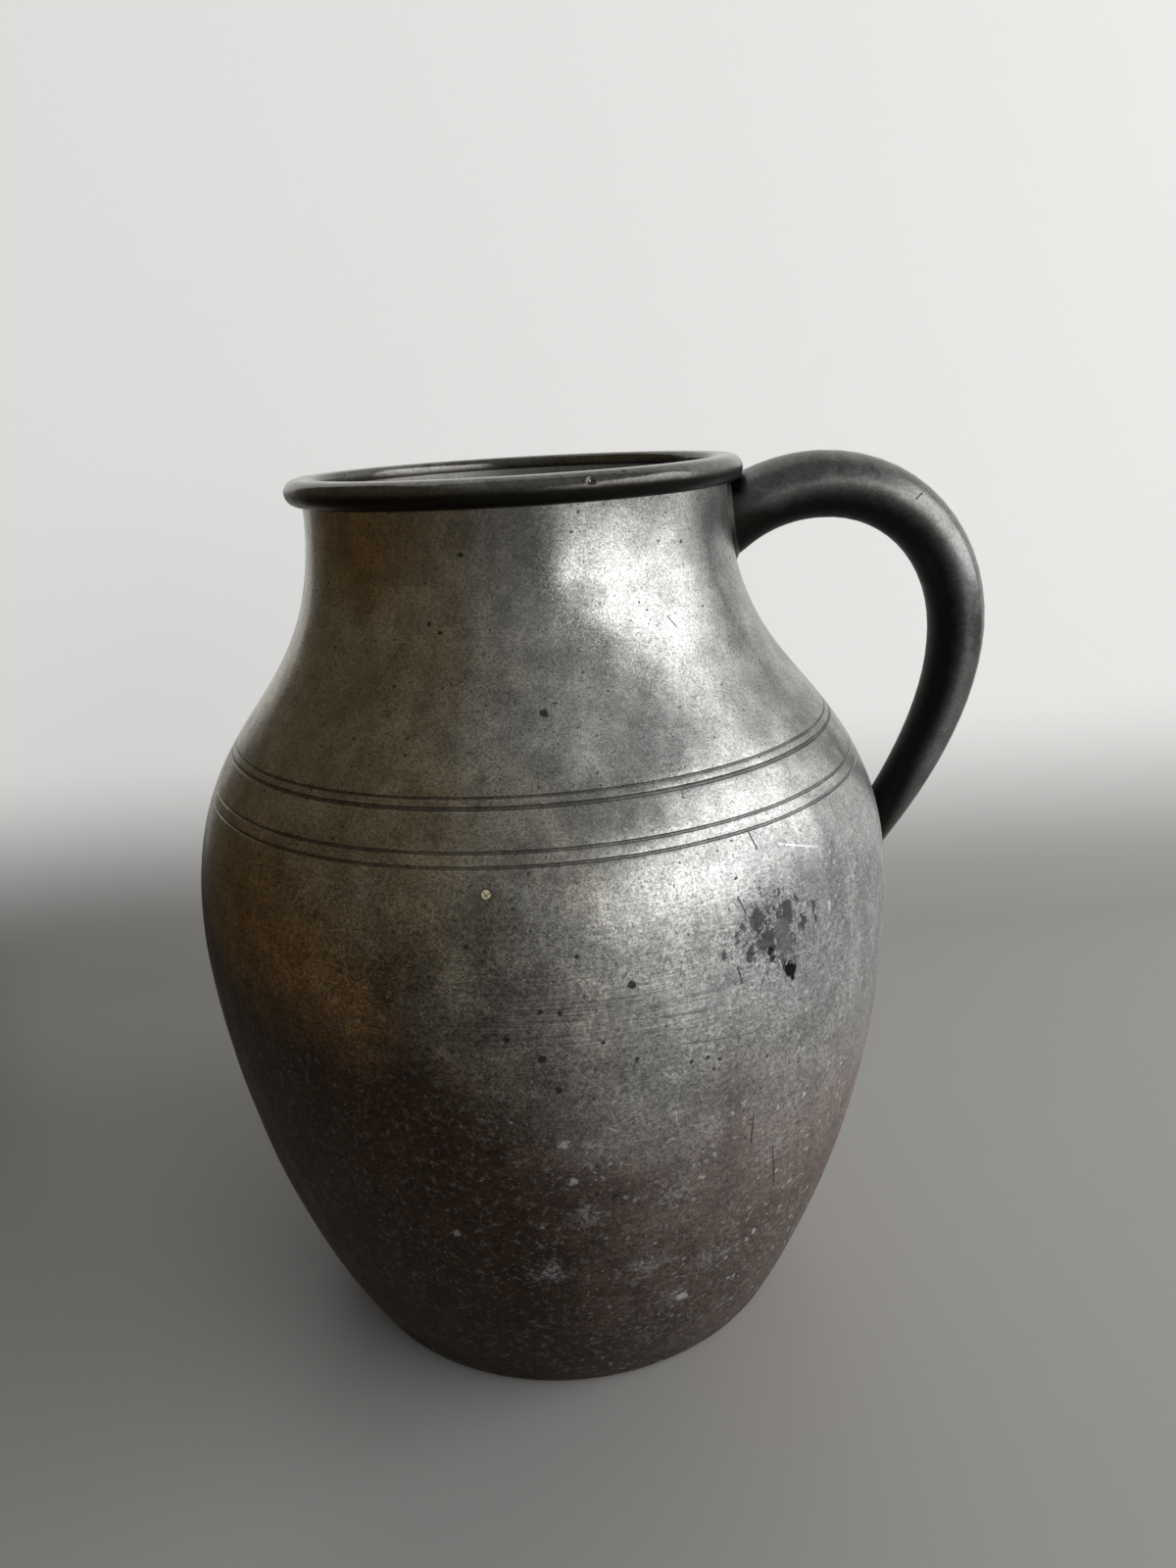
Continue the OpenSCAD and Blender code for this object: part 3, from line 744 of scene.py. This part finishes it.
# Upper half: shoulder with its turned lines, and the neck
turnedLines = {
    "heightWidthDepth": ((107, 0.46, 0.24), (105.8, 0.7, 0.32), (100.7, 0.52, 0.26), (98.95, 0.52, 0.26)),
    "across": (-0.66, -0.52, -0.42, -0.3, -0.2, 0, 0.2, 0.3, 0.42, 0.52, 0.66),
    "shape": (0, 0.05, 0.3, 0.85, 1, 0.97, 1, 0.85, 0.3, 0.05, 0),
    "clear": 0.8,
}
wallPoints = [(z, r, z) for r, z in between(outerLine, seam + body["notch"], neckTop)]
for height, width, depth in turnedLines["heightWidthDepth"]:
    wallPoints = [p for p in wallPoints if abs(p[0] - height) > width * turnedLines["clear"]]
    slope = wallTilt(height)
    for offset, shape in zip(turnedLines["across"], turnedLines["shape"]):
        z = height + offset * width * math.cos(slope)
        wallPoints.append((z, radiusAt(z) - shape * depth * math.cos(slope), z - shape * depth * math.sin(slope)))
lipTop = seam + body["lipRise"] + body["seatGap"]
lipOut = lipIn + body["lipThick"] + body["seatGap"]
upperSection = [(seamOut - body["notch"], seam + 2 * body["hair"])]
upperSection += [(r, z) for _, r, z in sorted(wallPoints)]
upperSection += between(innerLine, lipTop, neckTop)[::-1]
upperSection += [(lipOut, lipTop), (lipOut, seam + 2 * body["hair"])]
upperMesh = spinSection(upperSection)
u, w, wide = bodySkin["patch"]
refineNear(upperMesh, spotOnBody(u, w), wide)
pushIn(upperMesh, spotOnBody(u, w), wide, bodySkin["patchDepth"], bodySkin["patchRagged"])
for u, w, wide in bodySkin["holes"]:
    pushIn(upperMesh, spotOnBody(u, w), wide * bodySkin["holeSpread"], bodySkin["holeDepth"], bodySkin["holeRagged"])
markSunk(upperMesh, True)
settleMesh(upperMesh)
finishPiece("upperShoulder", upperMesh, bodyMetal, "upper_shoulder")

# Solder ring that fills the notch between the halves
seamMesh = spinSection([(seamOut - body["notch"] + 2 * body["hair"], seam + body["hair"])]
                       + between(outerLine, seam - body["notch"], seam + body["notch"]))
settleMesh(seamMesh)
finishPiece("bellySeam", seamMesh, bodyMetal, "belly_solder")

# Base disc and the solder fillet round it
baseMesh = spinSection([(0, base["recess"]), (baseRadius - base["bevel"], base["recess"]),
                        (baseRadius, base["recess"] + base["bevel"]), (baseRadius, baseTop), (0, baseTop)])
finishPiece("baseDisc", baseMesh, baseMetal, "base_plate")
filletTop = baseTop + base["fillet"]
hollowIn, hollowUp = (base["fillet"] * share for share in base["hollow"])
filletMesh = spinSection([(baseRadius - base["fillet"], baseTop + body["hair"]),
                          (radiusAt(baseTop, innerLine) + base["bite"], baseTop + body["hair"]),
                          (radiusAt(filletTop, innerLine) + base["bite"], filletTop),
                          (radiusAt(filletTop, innerLine) - 2 * body["hair"], filletTop),
                          (baseRadius - hollowIn, baseTop + hollowUp)])
finishPiece("baseFillet", filletMesh, solderMetal, "base_solder")

# Rolled rim bead over the neck's edge, and the solder film under it
rim = {"low": 144, "high": 4.1, "out": 2.6, "innerRound": 1, "roundSteps": 6, "arcSteps": 18, "film": 0.3,
       "filmShare": 0.9, "darkening": 1.35, "dings": [(603, 490, 0.7, 0.4), (636, 481, 0.4, 0.15)], "dingSpread": 1.5,
       "dingRagged": 0.6}
neckOut = outerLine[-1][0]
neckIn = neckOut - body["wall"]
roll = rim["high"] / 2
rollRadius = neckOut + rim["out"] - roll
rimTop = rim["low"] + rim["high"]
film = rim["film"] * rim["filmShare"]
rimSection = [(rollRadius + roll * math.sin(a), rim["low"] + roll - roll * math.cos(a))
              for a in (math.pi * k / rim["arcSteps"] for k in range(rim["arcSteps"] + 1))]
rimSection += [(neckIn + rim["innerRound"] * (1 - math.sin(a)), rimTop - rim["innerRound"] * (1 - math.cos(a)))
               for a in (math.pi / 2 * k / rim["roundSteps"] for k in range(rim["roundSteps"] + 1))]
rimSection += [(neckIn, neckTop + rim["film"]), (neckOut + rim["film"], neckTop + rim["film"]),
               (neckOut + rim["film"], rim["low"])]
rimMesh = spinSection(rimSection)
# Painted shade: the roll's colour darkens towards its underside
under = rimMesh.verts.layers.float.new("rimUnderShade")
for v in rimMesh.verts:
    v[under] = rim["darkening"] * (1 - (v.co.z / mm - rim["low"]) / rim["high"])
settleMesh(rimMesh)
for u, w, wide, depth in rim["dings"]:
    ding = spotOnMesh(rimMesh, u, w)
    refineNear(rimMesh, ding, wide * rim["dingSpread"])
    pushIn(rimMesh, ding, wide, depth, rim["dingRagged"])
finishPiece("rimBead", rimMesh, rimMetal, "rim_bead")
filmMesh = spinSection([(neckIn, neckTop), (neckOut, neckTop), (neckOut, rim["low"]),
                        (neckOut + film, rim["low"]), (neckOut + film, neckTop + film),
                        (neckIn, neckTop + film)])
settleMesh(filmMesh)
finishPiece("rimFilm", filmMesh, solderMetal, "rim_solder")

# Loop handle: oval rings along three curves, bridged, with both ends fitted to the body
handle = {
    "root": (34.61, 137.2), "rootRise": 36, "rootPull": 6,
    "crown": (50, 142.1), "crownIn": 5, "crownOut": 14,
    "bow": (74.4, 116.5), "bowHigh": 14.5, "bowLow": 14,
    "tailHeight": 80.5, "tailSlope": 54, "tailPull": 10,
    "thick": (11.2, 11, 9.4, 6.6), "wide": (13, 12, 11, 9),
    "steps": 14, "sides": 64, "sink": 1.1, "slide": 30.0, "halvings": 40,
    "ridge": 0.06, "ridgeEdge": 0.004, "endShade": 0.3, "endRings": 6,
    "nicks": [((935, 509), (941, 503)), ((770, 522), (784, 530)), ((764, 540), (772, 532))],
    "dent": (938, 506), "dentAbout": 1.0, "dentRadius": 0.5, "dentDepth": 0.18,
}


def headed(degrees):
    return Vector((math.cos(math.radians(degrees)), math.sin(math.radians(degrees))))


rootDir, tailDir = headed(handle["rootRise"]), -headed(handle["tailSlope"])
root, crown, bow = (Vector(handle[k]) for k in ("root", "crown", "bow"))
tail = Vector((radiusAt(handle["tailHeight"]), handle["tailHeight"]))
handleCurves = (
    (root, root + handle["rootPull"] * rootDir, crown - Vector((handle["crownIn"], 0)), crown),
    (crown, crown + Vector((handle["crownOut"], 0)), bow + Vector((0, handle["bowHigh"])), bow),
    (bow, bow - Vector((0, handle["bowLow"])), tail - handle["tailPull"] * tailDir, tail),
)


def skinGap(p, sink):
    x = p.x - shiftAt(p.z)
    r = math.hypot(x, p.y)
    return r - radiusAt(p.z) - swellAt(x / r, p.y / r, p.z) + sink


def slideToSkin(p, along, sink):
    low, high = -handle["slide"], handle["slide"]
    for _ in range(handle["halvings"]):
        middle = (low + high) / 2
        if skinGap(p + along * middle, sink) > 0:
            high = middle
        else:
            low = middle
    return p + along * low


def handlePlace(part, t):
    curve = handleCurves[part]
    halves = ((handle[k][part] * (1 - t) + handle[k][part + 1] * t) / 2 for k in ("thick", "wide"))
    return Vector(curvePoint(curve, t)), Vector(curveSlope(curve, t)).normalized(), *halves


def ovalRing(bm, spot, way, halfThick, halfWide):
    place = Matrix(((way.y * halfThick, 0, way.x, spot.x), (0, halfWide, 0, 0),
                    (-way.x * halfThick, 0, way.y, spot.y), (0, 0, 0, 1)))
    ring = bmesh.ops.create_circle(bm, radius=1, segments=handle["sides"], matrix=place)["verts"]
    return ring, list({e for v in ring for e in v.link_edges})


handleMesh = bmesh.new()
inward = handleMesh.verts.layers.float.new("loopInside")
lastLoop = None
lastRing = len(handleCurves) * handle["steps"]
for k in range(lastRing + 1):
    part = min(k // handle["steps"], len(handleCurves) - 1)
    t = (k - part * handle["steps"]) / handle["steps"]
    spot, way, halfThick, halfWide = handlePlace(part, t)
    ring, loop = ovalRing(handleMesh, spot, way, halfThick, halfWide)
    # Painted shade: loopInside rises towards the loop's inner side and near both ends, and the material darkens it
    darkening = handle["endShade"] * max(0, 1 - min(k, lastRing - k) / handle["endRings"])
    for v in ring:
        v[inward] = 0.5 + 0.5 * ((v.co.x - spot.x) * way.y - (v.co.z - spot.y) * way.x) / halfThick
        if v[inward] < handle["ridgeEdge"] and part == 1:
            v.co += Vector((-way.y, 0, way.x)) * handle["ridge"] * math.sin(math.pi * t)
        v[inward] += darkening
        if k in (0, lastRing):
            v.co = slideToSkin(v.co, Vector((way.x, 0, way.y)) * (1 if k == 0 else -1), handle["sink"])
    if lastLoop:
        bmesh.ops.bridge_loops(handleMesh, edges=lastLoop + loop)
    if k in (0, lastRing):
        bmesh.ops.holes_fill(handleMesh, edges=loop, sides=0)
    lastLoop = loop
bmesh.ops.recalc_face_normals(handleMesh, faces=handleMesh.faces)
bmesh.ops.scale(handleMesh, vec=(mm, mm, mm), verts=handleMesh.verts)
dent = spotOnMesh(handleMesh, *handle["dent"])
refineNear(handleMesh, dent, handle["dentAbout"])
pushIn(handleMesh, dent, handle["dentRadius"], handle["dentDepth"])
handleMetal = smoothMetal("pewterHandle", (0.205, 0.204, 0.2), (0.14, 0.137, 0.132), 0.29, 0.2, "loopInside",
                          handle["nicks"], lambda u, w: spotOnMesh(handleMesh, u, w))
finishPiece("handleLoop", handleMesh, handleMetal, "handle", sharp=60)

# Solder fillet round each end of the handle: three loops, on the handle, on the body and inside, bridged into a ring
fillet = {"up": 0.9, "out": 0.7, "sink": 0.6, "grip": 0.02, "edgeSink": 0.05}


def handleFillet(name, node, part, t, outward):
    spot, way, halfThick, halfWide = handlePlace(part, t)
    along = Vector((way.x, 0, way.y)) * outward
    bm = bmesh.new()
    loops = []
    for grow, sink, lift in ((fillet["grip"], 0, fillet["up"]), (fillet["out"], fillet["edgeSink"], 0),
                             (-fillet["sink"], fillet["sink"], 0)):
        ring, loop = ovalRing(bm, spot, way, halfThick + grow, halfWide + grow)
        for v in ring:
            v.co = slideToSkin(v.co, along, sink) + along * lift
        loops.append(loop)
    for a, b in zip(loops, loops[1:] + loops[:1]):
        bmesh.ops.bridge_loops(bm, edges=a + b)
    bmesh.ops.scale(bm, vec=(mm, mm, mm), verts=bm.verts)
    bmesh.ops.recalc_face_normals(bm, faces=bm.faces)
    finishPiece(name, bm, solderMetal, node, sharp=70)


handleFillet("upperFillet", "upper_handle_solder", 0, 0, 1)
handleFillet("lowerFillet", "lower_handle_solder", 2, 1, -1)

# Floor and backdrop in one bend; from behind, the backdrop lets the camera through
stage = {"front": -3, "bendStart": 0.125, "bendRadius": 0.05, "bendSteps": 12, "top": 2.2, "halfWide": 3,
         "drop": -0.0002, "pale": (0.6, 0.592, 0.577, 1), "glow": 0.51, "glowColour": (1, 1, 0.99, 1),
         "wallFade": (0, 0.06), "rough": (0.4, 0.9)}


def sweep(bm, edges, way):
    swept = bmesh.ops.extrude_edge_only(bm, edges=edges)["geom"]
    bmesh.ops.translate(bm, vec=way, verts=[g for g in swept if isinstance(g, bmesh.types.BMVert)])


def seenDirectly(tree):
    paths = put(tree, "LightPath").outputs
    return anyOf(tree, (paths[f"Is {kind} Ray"] for kind in ("Camera", "Glossy", "Transmission")))


stageMesh = bmesh.new()
corner = [(stage["front"], 0), (stage["bendStart"], 0)]
corner += [(stage["bendStart"] + stage["bendRadius"] * math.sin(a), stage["bendRadius"] * (1 - math.cos(a)))
           for a in (math.pi / 2 * k / stage["bendSteps"] for k in range(1, stage["bendSteps"] + 1))]
corner += [(stage["bendStart"] + stage["bendRadius"], stage["top"])]
line = [stageMesh.verts.new((-stage["halfWide"], y, z + stage["drop"])) for y, z in corner]
sweep(stageMesh, [stageMesh.edges.new(pair) for pair in zip(line, line[1:])], (2 * stage["halfWide"], 0, 0))
bmesh.ops.recalc_face_normals(stageMesh, faces=stageMesh.faces)
stageMesh.faces.ensure_lookup_table()
if stageMesh.faces[0].normal.z < 0:
    bmesh.ops.reverse_faces(stageMesh, faces=stageMesh.faces)
backdrop = linkMesh("backdrop", stageMesh)
pale, tree, skin = startMaterial("paleStage")
skin.inputs["Base Color"].default_value = stage["pale"]
skin.inputs["Emission Color"].default_value = stage["glowColour"]
rise = put(tree, "SeparateXYZ", {0: put(tree, "TexCoord").outputs["Object"]}).outputs[2]
glow = times(tree, seenDirectly(tree), fade(tree, rise, *stage["wallFade"]), stage["glow"])
tree.links.new(glow, skin.inputs["Emission Strength"])
tree.links.new(fade(tree, rise, *stage["wallFade"], *stage["rough"]), skin.inputs["Roughness"])
clear = put(tree, "BsdfTransparent").outputs[0]
sides = put(tree, "MixShader", {0: put(tree, "NewGeometry").outputs["Backfacing"], 1: skin.outputs[0], 2: clear})
tree.links.new(sides.outputs[0], tree.nodes["Material Output"].inputs["Surface"])
backdrop.data.materials.append(pale)

# One long soft window light on the right, and a dim room that is darker and warmer on the left
light = {"spot": (0.62, -0.765, 0.385), "long": 1.67, "high": 0.51, "power": 6.8, "dim": (0.07, 0.062, 0.05, 1),
         "bright": (0.44, 0.44, 0.44, 1), "brightWay": (0.45, 0, 0.32), "dimAt": -0.35, "brightAt": 0.65, "spill": 0.45}
lamp = bpy.data.objects.new("windowLight", bpy.data.lights.new("windowLight", "AREA"))
lamp.data.shape = "RECTANGLE"
lamp.data.size, lamp.data.size_y = light["long"], light["high"]
lamp.data.energy = light["power"]
lamp.matrix_world = Matrix.Translation(light["spot"]) @ Matrix(((0, 0, 1), (1, 0, 0), (0, 1, 0))).to_4x4()
scene.collection.objects.link(lamp)

world = scene.world or bpy.data.worlds.new("room")
scene.world = world
world.use_nodes = True
tree = world.node_tree
facing = measure(tree, "DOT_PRODUCT", put(tree, "TexCoord").outputs["Generated"], light["brightWay"])
side = put(tree, "MapRange", {"Value": facing, "From Min": light["dimAt"], "From Max": light["brightAt"]}).outputs[0]
around = tree.nodes["Background"].inputs
tree.links.new(blend(tree, side, light["dim"], light["bright"]), around["Color"])
tree.links.new(fade(tree, seenDirectly(tree), 0.0, 1.0, light["spill"], 1.0), around["Strength"])

# A dark board on the left, outside the picture, that only the metal's reflections see: a painted dark, warm reflection
# on the metal's left
board = {"x": -0.19, "front": -0.4, "back": 0.17, "top": 0.5, "colour": (0.19, 0.155, 0.1, 1), "rough": 0.9}
boardMesh = bmesh.new()
rail = [boardMesh.verts.new((board["x"], board[k], 0)) for k in ("front", "back")]
sweep(boardMesh, [boardMesh.edges.new(rail)], (0, 0, board["top"]))
sideBoard = linkMesh("sideBoard", boardMesh)
sideBoard.visible_camera = sideBoard.visible_diffuse = sideBoard.visible_shadow = False
dull, tree, skin = startMaterial("dullBoard")
skin.inputs["Base Color"].default_value = board["colour"]
skin.inputs["Roughness"].default_value = board["rough"]
sideBoard.data.materials.append(dull)
print("finished the stage and the light")
